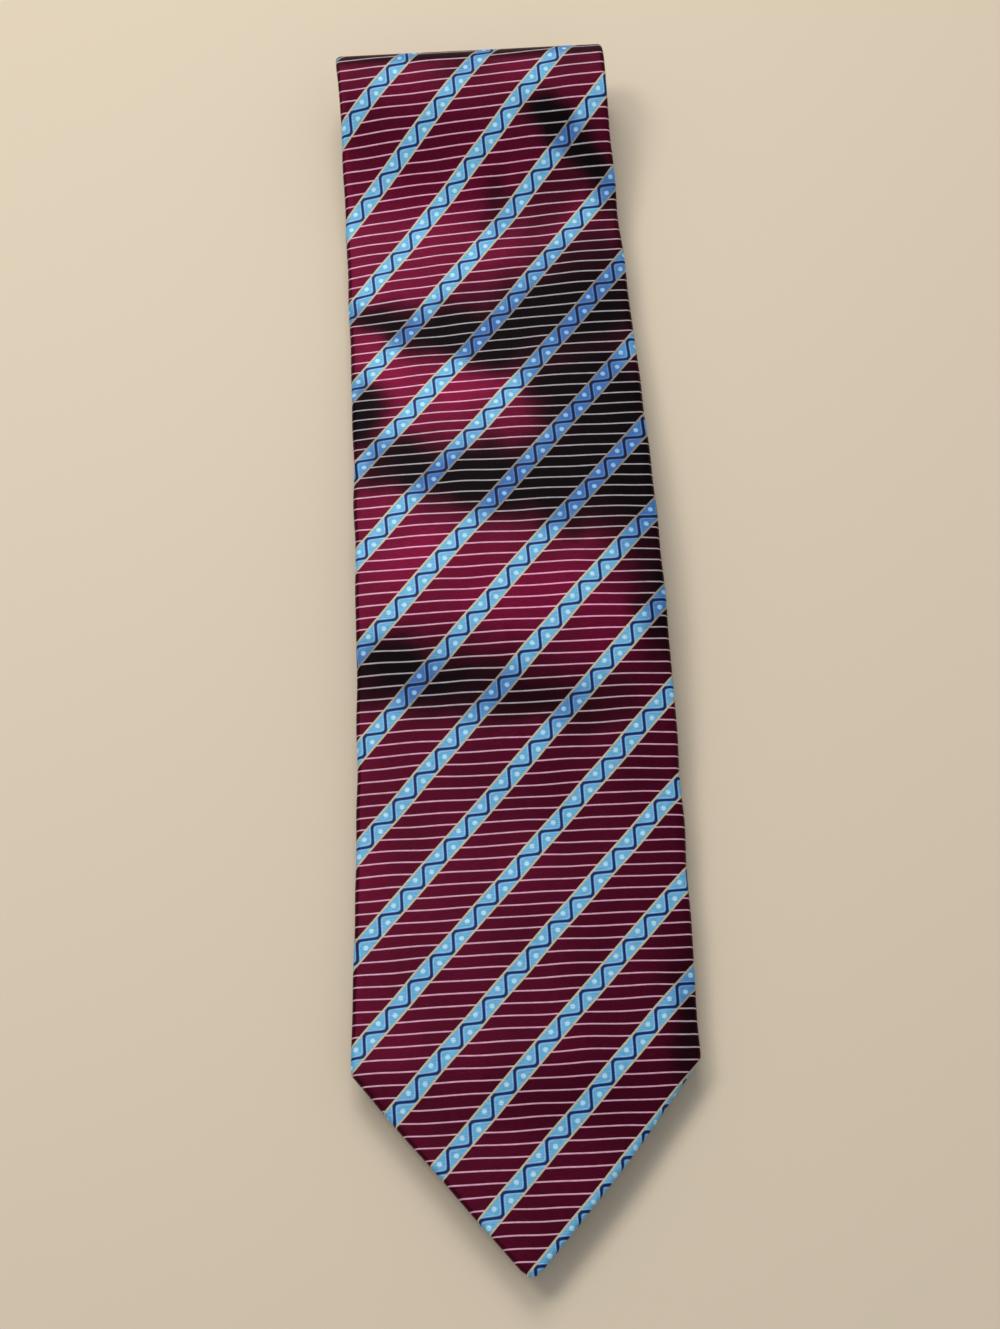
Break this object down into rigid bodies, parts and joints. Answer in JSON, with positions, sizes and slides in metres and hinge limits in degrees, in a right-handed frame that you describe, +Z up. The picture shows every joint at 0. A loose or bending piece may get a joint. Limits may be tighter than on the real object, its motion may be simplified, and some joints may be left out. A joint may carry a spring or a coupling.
{
  "type": "necktie",
  "caption": "Satin necktie with a striped pointed blade, pressed flat and folded into four layers at three cloth hinges.",
  "frame": {"origin": "under the middle of the folded bundle, on the surface it lies on", "axes": "+Z up, -Y to the pointed tip of the wide blade, +Y to the top fold, X across the tie"},
  "size_m": [0.0978, 0.392, 0.0255],
  "materials": {
    "satin": "glossy jacquard satin, dark wine with fine rose ribs and blue bias stripes",
    "lining": "smooth dark lining satin",
    "interlining": "brushed off-white wool blend",
    "thread": "twisted sewing thread",
    "woven_label": "plain dark woven label, blank",
    "care_ribbon": "plain off-white ribbon, blank"
  },
  "bodies": {
    "second_panel": {"blade_shell_second": "satin", "interlining_second": "interlining", "slip_stitch_second": "thread", "blade_shell_top_fold": "satin", "interlining_top_fold": "interlining", "blade_shell_lower_fold": "satin", "interlining_lower_fold": "interlining"},
    "front_panel": {"blade_shell_front": "satin", "interlining_front": "interlining", "blade_tipping": "lining", "blade_bar_tack": "thread", "slip_stitch_front": "thread", "keeper_loop": "satin", "maker_label_blank": "woven_label", "care_label_blank": "care_ribbon"},
    "third_panel": {"blade_shell_neck_end": "satin", "neck_shell": "satin", "tail_shell_start": "satin", "interlining_third": "interlining", "slip_stitch_third": "thread", "tail_shell_inner_fold": "satin", "interlining_inner_fold": "interlining"},
    "tail_panel": {"tail_shell_end": "satin", "interlining_tail": "interlining", "tail_tipping": "lining", "tail_bar_tack": "thread", "slip_stitch_tail": "thread"}
  },
  "joints": [
    {"name": "top_fold", "type": "hinge", "parent": "second_panel", "child": "front_panel", "pos_m": [0, 0.196, 0.01665], "axis": [-1, 0, 0], "range_deg": [0, 180], "deforming": ["blade_shell_top_fold", "interlining_top_fold"]},
    {"name": "lower_fold", "type": "hinge", "parent": "second_panel", "child": "third_panel", "pos_m": [0, -0.163, 0.00375], "axis": [-1, 0, 0], "range_deg": [0, 180], "deforming": ["blade_shell_lower_fold", "interlining_lower_fold"]},
    {"name": "inner_fold", "type": "hinge", "parent": "third_panel", "child": "tail_panel", "pos_m": [0, 0.19, 0.00375], "axis": [1, 0, 0], "range_deg": [0, 180], "deforming": ["tail_shell_inner_fold", "interlining_inner_fold"]}
  ]
}
